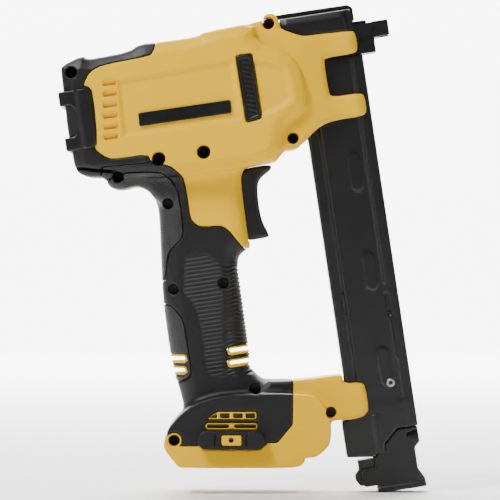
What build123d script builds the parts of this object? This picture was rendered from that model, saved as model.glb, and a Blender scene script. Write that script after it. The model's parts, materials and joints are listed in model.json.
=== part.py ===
"""Battery-powered brad and staple nailer with a spring-driven driver and a bottom-loading magazine.

Units are millimetres. X points towards the nose, Z is up, Y is across the tool, and the
operator's right is -Y. The origin is on the middle plane, below the middle of the tool's length,
at its lowest point. Whatever follows the drive line is drawn in the drive frame: its x runs along
the drive line towards the work, its z across the line, and its origin is at the muzzle.
"""

import math
import os

from build123d import *

# Driving dimensions
TILT = 8.5  # the drive line rises this many degrees over the battery foot
MUZZLE = (96.5, 306.8)  # the drive frame's origin, as X and Z
SHELL = 2.5  # wall of the moulded casing
RUBBER = 2.0  # thickness of the soft overmould
FIT = 0.3  # gap between parts that move past each other

BODY_HALF = 31.0  # half widths across the tool
FRONT_HALF = 22.0
FORK_HALF = 17.0
PANEL_HALF = 32.6
HANDLE_HALF = 18.0
FOOT_HALF = 38.0
MAGAZINE_HALF = 12.3
TRIGGER_HALF = 8.2
LEVER_HALF = 7.5

MAGAZINE_REAR, MAGAZINE_FRONT = -63.0, -18.0  # along the drive line
MAGAZINE_TOP = -12.0
TOE_BOTTOM = -302.87

BLADE_HALF, BLADE_THICK, BLADE_Z = 9.0, 1.6, 2.5
STROKE_PITCH_R = 14.0  # pitch radius of the lifter wheel
LIFT_TEETH, LIFT_STEP = 11, 27.0  # teeth of the lifter wheel, and degrees between them
LIFTER_AT = (-80.0, BLADE_Z - STROKE_PITCH_R)  # lifter shaft, drive frame
MOTOR_Z, MOTOR_R = -31.0, 18.0  # motor axis in the drive frame, and its radius
MUZZLE_END = -5.2  # front of the nose block and of the driven blade
LEVER_PIN = (-77.0, 21.6)
LATCH_PIN = (-57.5, -292.0)
CARRIAGE = (-116.0, -103.0)  # rear and front of the driver's carriage when driven
ROD_Y, ROD_Z, ROD_R = 7.5, -3.0, 2.5
SPRING_SEAT = (-205.0, -201.0)

SUN_TEETH, PLANET_TEETH, RING_TEETH, PLANET_MODULE = 12, 18, 48, 0.65
BEVEL_PINION_TEETH, BEVEL_GEAR_TEETH, BEVEL_MODULE = 12, 24, 1.0
SPUR_PINION_TEETH, SPUR_GEAR_TEETH, SPUR_MODULE = 13, 26, 1.0

SCREW_HEAD_R, SCREW_R, SCREW_SEAT, SCREW_END = 3.3, 1.9, -8.0, 12.0

DRIVE = Location((MUZZLE[0], 0, MUZZLE[1]), (0, -TILT, 0))


# Outlines, as (x, z) or (x, z, corner radius)
MOTOR_BODY = [
    (-218.5, 9, 6), (-203, 14, 4), (-198, 10.3, 4), (-173, 11.5, 10), (-164, 16.2, 4), (-125, 15.2, 4),
    (-121, 17.8, 4), (-88, 18.7, 6), (-86, 7, 6), (-66, -5, 10), (-60, -19, 8), (-60, -40, 6),
    (-78, -52, 6), (-85, -74.5, 8), (-205, -69.5, 10), (-219.5, -60, 8),
]  # fmt: skip
FRONT_BODY = [
    (-110, 18.5), (-84, 18.7, 2), (-81, 23.5, 3), (-73, 23.5, 4), (-70, 12, 2), (-57, 5, 6),
    (-45.5, 4.8, 2), (-45.5, -52, 4), (-66, -67.5, 4), (-79, -68, 2), (-86, -74.5, 3), (-110, -74.5),
]  # fmt: skip
FORKS = [
    (-75, 4.8), (-22.5, 4.8, 2), (-21, -8, 3), (-24, -11, 2), (-45, -11, 3), (-45, -37.5, 4),
    (-23, -37.5, 3), (-21.3, -46, 3), (-21.5, -53, 4), (-46, -53, 25), (-67, -66),
]  # fmt: skip
PANEL = [
    (-198, -2, 6), (-99.5, 2, 3), (-89.5, 0, 6), (-69.5, -10.5, 6), (-67, -35.5, 6), (-72, -41.5, 4),
    (-104.5, -46.5, 4), (-188, -46.5, 6), (-199, -29, 20),
]  # fmt: skip
RECESS = [(-179, -5, 2), (-105, -4.5, 2), (-105, -45, 2), (-184, -45, 2)]
LABEL = [(-172, -29.5, 1), (-110, -29.5, 1), (-110, -38.5, 1), (-172, -38.5, 1)]
TRIGGER_SLOT = [(-127, -74.6), (-85, -74.6), (-85, -124.3), (-127, -124.3)]
PAD_UPPER = [
    (-100, 207), (-68.5, 203.5), (-57.5, 213.5, 3), (-50, 213.5, 3), (-45, 205, 6), (-40, 171.5, 4),
    (-47, 163.5, 4), (-51.5, 142.5, 10), (-53.5, 138.5), (-100, 138.5),
]  # fmt: skip
PAD_LOWER = [(-100, 127), (-48, 126.5, 6), (-40, 116.5, 10), (-34, 77.5, 2), (-42, 74.5), (-100, 74.5)]
HANDLE = [
    (-64, 204, 14), (-54.5, 175, 30), (-53.5, 128, 60), (-45.5, 77.5, 30), (-38, 52), (40, 52),
    (37, 74.5), (8, 74.5, 12), (5, 98, 60), (-4, 152, 20), (0, 202, 40), (2, 235), (-60, 235),
]  # fmt: skip
TANG = [(-91, 216), (-91, 205, 4), (-86, 201.5, 3), (-60, 204), (-50, 190), (-40, 190), (-40, 222)]
TRIGGER_LIP = [(-10, 150), (-3, 155, 3), (5.5, 163, 3), (3, 176, 6), (-10, 180)]
FOOT = [
    (-51, 39.5, 6), (-29, 60, 8), (-15, 65.5, 20), (47, 65.5, 12), (58.5, 54, 8), (58.5, 33, 8),
    (47, 24, 8), (41, 24, 3), (41, 17, 4), (-42, 17, 6), (-53, 31, 8),
]  # fmt: skip
ARM = [(10, 74.5), (34, 74.5), (66.5, 78.5, 2), (69, 50, 2), (10, 45)]
CLIP = [(-72, -228, 3), (-49.5, -228, 4), (-49.5, -251.5, 4), (-74, -251, 3)]
YELLOW_ABOVE = [
    (-153.5, 40), (-153.5, 15), (-159, 6.5, 5), (-192, 5.5, 14), (-206, -10, 2), (-199.5, -12, 2),
    (-201, -45, 3), (-205, -47, 2), (-198, -57.5, 12), (-170, -57.5, 2), (-167, -66.5, 8), (-157, -66.5, 6),
    (-148.5, -78, 8), (-147, -110, 10), (-130, -110.5, 14), (-112, -133, 2), (-95, -133), (0, -80), (0, 40),
]  # fmt: skip
BLACK_BELOW = [
    (-90, 20), (-55, 35), (-41.5, 31.5), (-29, 31.5), (-26, 29.5), (11.5, 29.5), (14.5, 33.5),
    (23, 34), (33.5, 46), (33.5, 90), (33.5, 163), (-20, 200), (-100, 215),
]  # fmt: skip
NOSE_COVER = [(-69, 19.2), (-69, 11.8), (-57, 5.1, 6), (-23, 5.1, 1), (-23, 13.5, 2), (-26, 19.2, 2)]
TRIGGER = [
    (-118, -77), (-90, -75.4, 1), (-90, -79, 1.5), (-97, -81.5, 5), (-101.8, -90, 8),
    (-101.8, -113, 12), (-98, -122, 1.2), (-100, -123.5, 1), (-118, -123.5),
]  # fmt: skip
LEVER = [
    (-77, 19.5), (-22.7, 19.5), (-22.7, 11.5), (-20.8, 11.5), (-20.8, 20, 2), (-24, 22.3, 2),
    (-73, 22.3, 2), (-77, 23.8),
]  # fmt: skip
CHANNEL = [
    (MAGAZINE_REAR, MAGAZINE_TOP), (MAGAZINE_FRONT, MAGAZINE_TOP), (MAGAZINE_FRONT, -262), (-32.3, -262, 2),
    (-49.8, -279, 2), (-68.7, -277, 2), (-68.7, -254, 2), (MAGAZINE_REAR, -252),
]  # fmt: skip
END_CAP = [
    (-50, -279.9, 1), (-32.7, -262.5), (-18.5, -262.5, 1), (-18.5, -273, 1), (-22.5, -275.5, 1.5),
    (-22.5, -289, 3), (-18.9, -297, 2), (-18.9, TOE_BOTTOM, 1), (-50, TOE_BOTTOM, 1),
]  # fmt: skip
HOOK_BADGE = [(-14.4, 32.6, 2), (-1, 32.6, 2), (-1, 39.4, 2), (-14.4, 39.4, 2)]
LATCH = [
    (-62, -280), (-51.5, -280), (-50.8, -298, 2), (-62.5, -297, 3), (-65, -293, 1.5), (-65, -289, 1),
    (-62, -286, 1),
]  # fmt: skip

REAR_RIBS = (-6, -13.5, -21, -28.5, -36, -43.5)  # heights of the grooves at the back of the panel

# Casing screws: drive-frame (x, z) of those on the body, then plain X and Z of those on the foot
BODY_SCREWS = [
    (-212, 3.5), (-163, -61.5), (-133, -61.5), (-78, 17), (-73, -61), (-191.5, -69.5),
    (-161.5, -91.5), (-166.5, -148.5), (-133, -149.5), (-122.5, -222),
]  # fmt: skip
FOOT_SCREWS = [(58.5, 53.5), (-45.5, 35.5)]
HOOK_HOLE = (-7.7, 36.0)  # belt hook screw on each side of the foot
HOOK_HOLE_R, HOOK_HOLE_DEPTH = 1.65, 8.0

BAY_CEILING, RAIL_TOP = 30.0, 20.5
BAY_HALF, RAIL_HALF = 31.0, 27.5


# Shape helpers


def flat(corners):
    """The XZ face inside an outline whose corners may carry a radius."""
    points = [Vector(c[0], 0, c[1]) for c in corners]
    radii = [c[2] if len(c) > 2 else 0 for c in corners]
    count = len(points)
    runs = []
    for i, (here, radius) in enumerate(zip(points, radii)):
        back = (points[i - 1] - here).normalized()
        ahead = (points[(i + 1) % count] - here).normalized()
        if not radius:
            runs.append((here, None, here))
            continue
        half = math.radians(back.get_angle(ahead)) / 2
        cut = radius / math.tan(half)
        middle = here + (back + ahead).normalized() * (radius / math.sin(half) - radius)
        runs.append((here + back * cut, middle, here + ahead * cut))
    edges = []
    for i, (start, middle, end) in enumerate(runs):
        if middle is not None:
            edges.append(ThreePointArc(start, middle, end))
        onward = runs[(i + 1) % count][0]
        if (onward - end).length > 1e-6:
            edges.append(Line(end, onward))
    return Face(Wire(edges))


def slab(corners, low, high):
    """An outline carried across the tool from y = low to y = high."""
    start = flat(corners).moved(Location((0, low, 0)))
    return Solid.extrude(start, Vector(0, high - low, 0))


def zone(corners, half, rounding, inset=0.0):
    """A full-width piece of casing, rounded along both sides, and shrunk all over by inset."""
    face = flat(corners)
    if inset:
        face = offset(face, -inset, kind=Kind.INTERSECTION).faces()[0]
    solid = Solid.extrude(face.moved(Location((0, inset - half, 0))), Vector(0, 2 * (half - inset), 0))
    if rounding - inset < 0.5:
        return solid
    sides = [f for f in solid.faces() if abs(abs(f.center().Y) - (half - inset)) < 1e-6]
    return solid.fillet(rounding - inset, [e for f in sides for e in f.edges()])


def block(x, y, z):
    """A box from three (low, high) pairs."""
    size = [b - a for a, b in (x, y, z)]
    middle = [(a + b) / 2 for a, b in (x, y, z)]
    return Pos(*middle) * Box(*size)


def rod_y(x, z, radius, low, high):
    """A cylinder across the tool."""
    return Location((x, (low + high) / 2, z), (90, 0, 0)) * Cylinder(radius, high - low)


def rod_x(y, z, radius, low, high):
    """A cylinder along the drive line."""
    return Location(((low + high) / 2, y, z), (0, 90, 0)) * Cylinder(radius, high - low)


def rod_z(x, y, radius, low, high):
    return Location((x, y, (low + high) / 2)) * Cylinder(radius, high - low)


def driven(shape):
    """Moves a shape from the drive frame to the tool's frame."""
    return shape.moved(DRIVE)


def drive_point(x, z):
    """X and Z in the tool's frame of a drive-frame point."""
    spot = (DRIVE * Location((x, 0, z))).position
    return spot.X, spot.Z


def keep(name, shape):
    """Writes one node's STEP file."""
    solids = shape.solids() if hasattr(shape, "solids") else [shape]
    body = solids[0] if len(solids) == 1 else Compound(children=list(solids))
    export_step(body, f"parts/{name}.step")


# Gears

PRESSURE = math.radians(25)
ADDENDUM, DEDENDUM = 0.8, 1.05


def tooth_sides(teeth, pitch_r, low, high, slack, steps=4):
    """(radius, half angle) pairs up one involute flank, from radius low to radius high."""
    base = pitch_r * math.cos(PRESSURE)
    at_pitch = math.pi / 2 / teeth - slack / 2 / pitch_r + math.tan(PRESSURE) - PRESSURE
    first = max(base, low)
    radii = [first + (high - first) * i / steps for i in range(steps + 1)]
    if low < first:
        radii.insert(0, low)
    sides = []
    for radius in radii:
        angle = math.acos(min(1.0, base / max(radius, base)))
        sides.append((radius, at_pitch - (math.tan(angle) - angle)))
    return sides


def gear_ring(teeth, module, phase=0.0, add=ADDENDUM, ded=DEDENDUM, slack=0.12):
    """Points round a gear's edge, with a tooth centred at phase degrees."""
    pitch_r = teeth * module / 2
    sides = tooth_sides(teeth, pitch_r, pitch_r - ded * module, pitch_r + add * module, slack)
    ring = []
    for i in range(teeth):
        centre = math.radians(phase + 360 * i / teeth)
        for radius, half in sides:
            ring.append((radius * math.cos(centre - half), radius * math.sin(centre - half)))
        for radius, half in reversed(sides):
            ring.append((radius * math.cos(centre + half), radius * math.sin(centre + half)))
    return ring


def spur(teeth, module, thick, phase=0.0, **shape):
    """A spur gear on +Z with its lower face at the origin."""
    ring = gear_ring(teeth, module, phase, **shape)
    face = Face(Wire.make_polygon([Vector(x, y, 0) for x, y in ring], close=True))
    return Solid.extrude(face, Vector(0, 0, thick))


def bevel(teeth, mate, module, width, phase=0.0, slack=0.27):
    """A straight bevel gear for a right-angle pair. Its cone's tip is the origin, its axis +Z."""
    slope = math.atan2(teeth, mate)
    pitch_r = teeth * module / 2
    reach = pitch_r / math.sin(slope)
    back_r = pitch_r / math.cos(slope)
    sides = tooth_sides(
        teeth / math.cos(slope), back_r, back_r - DEDENDUM * module, back_r + ADDENDUM * module, slack
    )
    outer = []
    for i in range(teeth):
        centre = math.radians(phase + 360 * i / teeth)
        for sign, flank in ((-1, sides), (1, sides[::-1])):
            for radius, half in flank:
                out = pitch_r + (radius - back_r) * math.cos(slope)
                up = reach * math.cos(slope) - (radius - back_r) * math.sin(slope)
                turn = centre + sign * radius * half / out
                outer.append(Vector(out * math.cos(turn), out * math.sin(turn), up))
    share = (reach - width) / reach
    inner = [p * share for p in outer]
    top = Vector(0, 0, outer[0].Z)
    low = top * share
    faces = []
    for i, here in enumerate(outer):
        j = (i + 1) % len(outer)
        for corners in (
            [here, outer[j], inner[j], inner[i]],
            [outer[j], here, top],
            [inner[i], inner[j], low],
        ):
            faces.append(Face(Wire.make_polygon(corners, close=True)))
    return Solid(Shell(faces))


def on_axis(shape, origin, axis, zero):
    """Puts a gear drawn on +Z, with angle zero on +X, onto another axis of the drive frame."""
    return shape.moved(Plane(origin=origin, x_dir=zero, z_dir=axis).location)


# Casing


def casing_form(inset=0.0):
    """The outside of the whole casing, shrunk by inset."""
    body = zone(MOTOR_BODY, BODY_HALF, 5.5, inset).moved(DRIVE)
    panel = zone(PANEL, PANEL_HALF, 1.2, inset).moved(DRIVE)
    front = zone(FRONT_BODY, FRONT_HALF, 1.8, inset).moved(DRIVE)
    forks = zone(FORKS, FORK_HALF, 1.2, inset).moved(DRIVE)
    handle = zone(HANDLE, HANDLE_HALF, 9, inset)
    tang = zone(TANG, 26, 3, inset)
    lip = zone(TRIGGER_LIP, 14, 2, inset)
    foot = zone(FOOT, FOOT_HALF, 2.8, inset)
    arm = zone(ARM, 17, 1.8, inset)
    clip = zone(CLIP, 16.5, 2.4, inset).moved(DRIVE)
    return body + panel + front + forks + handle + tang + lip + foot + arm + clip


def screw_spots():
    return [drive_point(*s) for s in BODY_SCREWS] + FOOT_SCREWS


def across(shapes):
    """All the shapes as one."""
    whole = shapes[0]
    for shape in shapes[1:]:
        whole += shape
    return whole


def casing_cuts():
    """All that is taken out of the casing and its overmould alike."""
    gap = MAGAZINE_HALF + FIT
    inside = [
        block((MAGAZINE_REAR - FIT, 0), (-gap, gap), (-320, 17)),
        block((-116, -62), (-20, 20), (-52, 11)),
        block((-86, -20), (-LEVER_HALF - FIT, LEVER_HALF + FIT), (19.1, 30)),
        slab(TRIGGER_SLOT, -TRIGGER_HALF - FIT, TRIGGER_HALF + FIT),
        slab(RECESS, -60, -PANEL_HALF + 0.8),
        slab(RECESS, PANEL_HALF - 0.8, 60),
        rod_y(*LEVER_PIN, 1.25, -40, 40),
    ]
    for z in REAR_RIBS:
        groove = [(-195.5, z), (-185.5, z + 0.5), (-185.5, z + 3.4), (-195.5, z + 2.9)]
        inside.append(slab(groove, -60, -PANEL_HALF + 1.2))
        inside.append(slab(groove, PANEL_HALF - 1.2, 60))
    cuts = [driven(cut) for cut in inside]
    cuts.append(block((-70, 34), (-BAY_HALF, BAY_HALF), (RAIL_TOP, BAY_CEILING)))
    cuts.append(block((-70, 34), (-RAIL_HALF, RAIL_HALF), (10, BAY_CEILING)))
    for low in (91.6, 84):
        cuts.append(slab([(-10, low), (12, low + 2.6), (12, low + 6.2), (-10, low + 3.6)], -30, 30))
    for low in (87, 79.5):
        cuts.append(block((-60, -38.5), (-30, 30), (low, low + 3.6)))
    for x, z in screw_spots():
        cuts.append(rod_y(x, z, SCREW_HEAD_R + 0.25, -60, SCREW_SEAT))
        cuts.append(rod_y(x, z, SCREW_R + 0.1, SCREW_SEAT - 1, 0.5))
        cuts.append(rod_y(x, z, SCREW_R + 0.02, 0, SCREW_END + 0.5))
    return across(cuts)


def foot_vents():
    """The two rows of slots through each side of the foot."""
    slots = []
    for low, high, x_low, x_high, count in ((50.2, 53.6, -17, 8, 4), (43.8, 46.2, -23.5, 8, 2)):
        pitch = (x_high - x_low) / count
        for i in range(count):
            x = x_low + i * pitch
            slots.append(block((x, x + pitch - 2), (-60, 60), (low, high)))
    return across(slots)


def side_vent(low, high):
    """The long black outlet on one side of the motor body."""
    return driven(block((-101.5, -91.5), (low, high), (-46, -1.5)))


def inner_walls(hollow):
    """The bay's ceiling and front wall, and the cradles that hold the motor and its gearbox."""
    bay = block((-60, 60), (-40, 40), (BAY_CEILING, BAY_CEILING + SHELL))
    bay += block((34, 36.5), (-40, 40), (10, BAY_CEILING + SHELL))
    cradles = []
    for low in (-168, -132, -108):
        plate = block((low, low + 4), (-27, 27), (-66, MOTOR_Z + 6))
        cradles.append(plate - rod_x(0, MOTOR_Z, MOTOR_R + 0.1, low - 1, low + 5))
    seat = block((-214.5, SPRING_SEAT[0] - 0.1), (-27, 27), (-66, 6.5))
    return hollow & (bay + driven(across(cradles) + seat))


def sides():
    """The name and the half space of each side of the tool."""
    yield "right", block((-300, 300), (-80, 0), (-50, 400))
    yield "left", block((-300, 300), (0, 80), (-50, 400))


def make_casing():
    """The two halves of the casing, the soft overmould, and the trims let into them."""
    outside = casing_form()
    core = casing_form(RUBBER)
    hollow = casing_form(RUBBER + SHELL)
    cuts = casing_cuts()
    upper = slab(YELLOW_ABOVE, -60, 60).moved(DRIVE)
    lower = slab(BLACK_BELOW, -60, 60)
    back = slab([(-260, 60), (-140, 60), (-100, -140), (-260, -140)], -60, 60).moved(DRIVE)
    bumper = slab([(-240, 40), (-153, 40), (-150, -58), (-170, -69.3), (-240, -69.3)], -60, 60).moved(DRIVE)
    badge = slab(HOOK_BADGE, -60, 60)

    bosses = [rod_y(x, z, 5.4, -60, 60) for x, z in screw_spots()]
    bosses.append(rod_y(*HOOK_HOLE, 5, -60, -29))
    bosses.append(rod_y(*HOOK_HOLE, 5, 29, 60))
    bosses = across(bosses)
    inserts = rod_y(*HOOK_HOLE, 3, -60, -30) + rod_y(*HOOK_HOLE, 3, 30, 60)
    vents = side_vent(-60, -BODY_HALF + 3) + side_vent(BODY_HALF - 3, 60) + foot_vents()

    hard = (outside & upper) + (outside - lower - back - upper) + (outside & badge)
    walls = inner_walls(hollow)
    casing = core + hard - (hollow - bosses - walls) - cuts - inserts - vents
    soft = outside - core - hard - cuts - vents
    bumpers = soft & bumper
    upper_pad, lower_pad = slab(PAD_UPPER, -60, 60), slab(PAD_LOWER, -60, 60)
    keep("palm_pad_upper", (soft - bumper) & upper_pad)
    keep("palm_pad_lower", (soft - bumper) & lower_pad)
    grips = soft - bumper - upper_pad - lower_pad
    for name, half in sides():
        keep(f"housing_{name}", casing & half)
        keep(f"grip_{name}", grips & half)
        keep(f"rear_bumper_{name}", bumpers & half)

    outlets = side_vent(-BODY_HALF - 0.4, BODY_HALF + 0.4)
    outlets -= block((-300, 300), (-BODY_HALF + 3, BODY_HALF - 3), (-50, 400))
    labels = slab(LABEL, -PANEL_HALF + 0.3, PANEL_HALF - 0.3)
    labels -= block((-300, 0), (-PANEL_HALF + 0.8, PANEL_HALF - 0.8), (-60, 20))
    for name, half in sides():
        keep(f"side_vent_{name}", outlets & half)
        keep(f"label_plate_{name}", driven(labels) & half)
    insert = rod_y(*HOOK_HOLE, 3, -38, 38) - rod_y(*HOOK_HOLE, HOOK_HOLE_R, -60, 60)
    keep("hook_inserts", insert - block((-20, 20), (-30, 30), (20, 50)))


def make_fittings():
    """Screws, the strap round the back, the nose covers, and the lever on top."""
    screws = []
    for x, z in screw_spots():
        head = rod_y(x, z, SCREW_HEAD_R, SCREW_SEAT - 2.5, SCREW_SEAT)
        socket = rod_y(x, z, 1.7, SCREW_SEAT - 3, SCREW_SEAT - 1)
        screws.append(head + rod_y(x, z, SCREW_R, SCREW_SEAT, SCREW_END) - socket)
    keep("casing_screws", Compound(children=[s.solid() for s in screws]))

    strap = block((-222.6, -200), (-33.2, 33.2), (-47, -8))
    strap -= block((-219.9, -190), (-BODY_HALF, BODY_HALF), (-60, 0))
    strap -= block((-230, -212), (-40, 40), (-38, -17))
    keep("rear_strap", driven(strap))

    cover = zone(NOSE_COVER, 16.5, 1.6)
    cover -= block((-75, -20), (-13, 13), (0, 17.2))
    cover -= block((-70, -68), (-40, 40), (0, 11.9))
    wall = block((-58, -56), (-13, 13), (10, 17.2)) - rod_x(0, 12.5, 1, -60, -50)
    for name, half in sides():
        keep(f"nose_cover_{name}", driven(cover + wall) & half)

    lever = slab(LEVER, -LEVER_HALF, LEVER_HALF)
    lever += rod_y(*LEVER_PIN, 2.2, -LEVER_HALF, LEVER_HALF)
    keep("clear_lever", driven(lever - rod_y(*LEVER_PIN, 1.25, -20, 20)))
    keep("lever_pin", driven(rod_y(*LEVER_PIN, 1.2, -15, 15)))


# Handle and foot


def make_controls():
    """Trigger, switch and the parts of the battery foot."""
    trigger = slab(TRIGGER, -TRIGGER_HALF, TRIGGER_HALF) - rod_x(0, -100, 3.4, -120, -114)
    keep("trigger", driven(trigger))
    spring = coil(2.6, 0.35, 13.4, 8).moved(Location((-127.4, 0, -100), (0, 90, 0)))
    keep("trigger_spring", driven(spring))
    switch = block((-150, -127.5), (-9, 9), (-122, -82)) + rod_x(0, -88, 2, -127.5, -125.5)
    keep("trigger_switch", driven(switch))

    board = block((-34, 30), (-24, 24), (34, 35.6))
    keep("control_board", board + block((-20, 0), (-12, 12), (35.6, 42)))
    terminals = block((16, 33.9), (-19, 19), (19, 29.9))
    keep("terminal_block", terminals - block((14, 30), (-17, 17), (10, 22)))
    tabs = [block((-4, 16), (y - 0.4, y + 0.4), (20.5, 27.5)).solid() for y in (-11, 0, 11)]
    keep("terminal_blades", Compound(children=tabs))


def coil(radius, wire, length, turns):
    """A compression spring on +Z from the origin."""
    path = Helix(pitch=(length - 2 * wire) / turns, height=length - 2 * wire, radius=radius)
    path = path.moved(Location((0, 0, wire)))
    section = Plane(origin=path @ 0, z_dir=path % 0) * Circle(wire)
    return sweep(section, path=path)


# Drive train


def make_motor():
    """Motor, planetary reduction, bevel pair and spur pair that turn the lifter wheel."""
    z = MOTOR_Z
    can = rod_x(0, z, MOTOR_R, -172, -122) - rod_x(0, z, MOTOR_R - 2, -170, -124)
    can = can - rod_x(0, z, 5.55, -173, -168.9) - rod_x(0, z, 5.55, -125.1, -121)
    for i in range(4):
        slot = block((-134, -126), (-2.5, 2.5), (10, 20)).moved(Location((0, 0, 0), (90 * i, 0, 0)))
        can -= slot.moved(Location((0, 0, z)))
    keep("motor_can", driven(can))
    magnets = rod_x(0, z, MOTOR_R - 2.02, -165, -135) - rod_x(0, z, 12.5, -166, -134)
    magnets -= block((-170, -130), (-2, 2), (z - 20, z + 20))
    keep("motor_magnets", driven(magnets))
    bearings = []
    for low in (-171.9, -125):
        bearings.append((rod_x(0, z, 5.5, low, low + 3) - rod_x(0, z, 2.52, low - 1, low + 4)).solid())
    keep("motor_bearings", driven(Compound(children=bearings)))
    rotor = rod_x(0, z, 2.5, -174, -112) + rod_x(0, z, 11.8, -165, -135)
    for i in range(6):
        groove = block((-170, -130), (-0.8, 0.8), (9, 13)).moved(Location((0, 0, 0), (60 * i, 0, 0)))
        rotor -= groove.moved(Location((0, 0, z)))
    sun = on_axis(spur(SUN_TEETH, PLANET_MODULE, 7.5), (-112.5, 0, z), (1, 0, 0), (0, 1, 0))
    keep("motor_rotor", driven(rotor + rod_x(0, z, 4.5, -135, -127) + sun))
    fan = rod_x(0, z, 5, -121, -114) + rod_x(0, z, 16.5, -121, -119.6)
    fan -= rod_x(0, z, 2.52, -122, -113)
    for i in range(9):
        blade = block((-120, -114.5), (-0.6, 0.6), (4.6, 16.2)).moved(Location((0, 0, 0), (40 * i, 0, 0)))
        fan += blade.moved(Location((0, 0, z)))
    keep("motor_fan", driven(fan))

    ring = rod_x(0, z, MOTOR_R, -112.5, -98.1) - rod_x(0, z, 16.4, -104.4, -100)
    ring -= rod_x(0, z, 5.05, -101, -98)
    half = 360 / RING_TEETH / 2
    teeth = spur(RING_TEETH, PLANET_MODULE, 8.3, half, add=DEDENDUM, ded=ADDENDUM, slack=-0.12)
    ring -= on_axis(teeth, (-112.6, 0, z), (1, 0, 0), (0, 1, 0))
    keep("ring_gear", driven(ring))
    carrier = rod_x(0, z, 13.4, -104.2, -100.4) + rod_x(0, z, 5, -100.5, -93)
    carrier += rod_x(0, z, 4.4, -94, -91)
    centres = PLANET_MODULE * (SUN_TEETH + PLANET_TEETH) / 2
    for i in range(3):
        turn = math.radians(120 * i)
        y, up = centres * math.cos(turn), z + centres * math.sin(turn)
        carrier += rod_x(y, up, 2, -112, -104)
        planet = spur(PLANET_TEETH, PLANET_MODULE, 6.4, 180 / PLANET_TEETH)
        planet -= Cylinder(2.05, 20)
        keep(f"planet_gear_{i + 1}", driven(on_axis(planet, (-111.2, y, up), (1, 0, 0), (0, 1, 0))))
    apex = (LIFTER_AT[0], 0, z)
    pinion = bevel(BEVEL_PINION_TEETH, BEVEL_GEAR_TEETH, BEVEL_MODULE, 4)
    keep("carrier", driven(carrier + on_axis(pinion, apex, (-1, 0, 0), (0, -1, 0))))

    gear = bevel(BEVEL_GEAR_TEETH, BEVEL_PINION_TEETH, BEVEL_MODULE, 4, 180 / BEVEL_GEAR_TEETH)
    gear = on_axis(gear, apex, (0, -1, 0), (-1, 0, 0))
    gear += rod_y(apex[0], z, 9.4, -11, -5.6)
    keep("bevel_gear", driven(gear - rod_y(apex[0], z, 3.02, -20, 0)))
    keep("cross_shaft", driven(rod_y(apex[0], z, 3, -19.5, 19.5)))
    spur_at = Location((apex[0], 16.5, z), (90, 0, 0))
    pinion = spur(SPUR_PINION_TEETH, SPUR_MODULE, 4.4, -90) - Cylinder(3.02, 30)
    keep("spur_pinion", driven(pinion.moved(spur_at)))
    wheel_at = Location((LIFTER_AT[0], 16.5, LIFTER_AT[1]), (90, 0, 0))
    wheel = spur(SPUR_GEAR_TEETH, SPUR_MODULE, 4, -90) - Cylinder(4.02, 30)
    keep("lifter_gear", driven(wheel.moved(wheel_at)))


def make_lifter():
    """The wheel whose teeth draw the driver back, its shaft, and the steel frame round them."""
    x, z = LIFTER_AT
    wheel = rod_y(x, z, 12, -2.5, 2.5) + rod_y(x, z, 7, -4.6, 4.6)
    for i in range(LIFT_TEETH):
        turn = math.radians(90 - LIFT_STEP * i)
        wheel += rod_y(x + 14.2 * math.cos(turn), z + 14.2 * math.sin(turn), 1.25, -2.5, 2.5)
        stem = Pos(x + 13.2 * math.cos(turn), 0, z + 13.2 * math.sin(turn))
        wheel += stem * Rot(0, -math.degrees(turn), 0) * Box(2.6, 5, 2.5)
    keep("lifter_wheel", driven(wheel - rod_y(x, z, 4.02, -20, 20)))
    keep("lifter_shaft", driven(rod_y(x, z, 4, -19.5, 19.5)))

    frame = block((-97.8, -63.8), (-19.5, 19.5), (-46, 8))
    frame -= block((-120, -65.8), (-17.5, 17.5), (-60, 20))
    frame += block((-97.8, -96), (-17.6, 17.6), (-9, 6))
    frame -= block((-120, -60), (-10, 10), (0.4, 4.6))
    frame -= block((-120, -60), (-3.2, 3.2), (-28, 9))
    for y in (-ROD_Y, ROD_Y):
        frame -= rod_x(y, ROD_Z, ROD_R + 0.03, -120, -60)
    frame -= rod_y(x, z, 4.05, -30, 30) + rod_y(x, MOTOR_Z, 3.05, -30, 30)
    keep("drive_frame", driven(frame))


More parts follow.
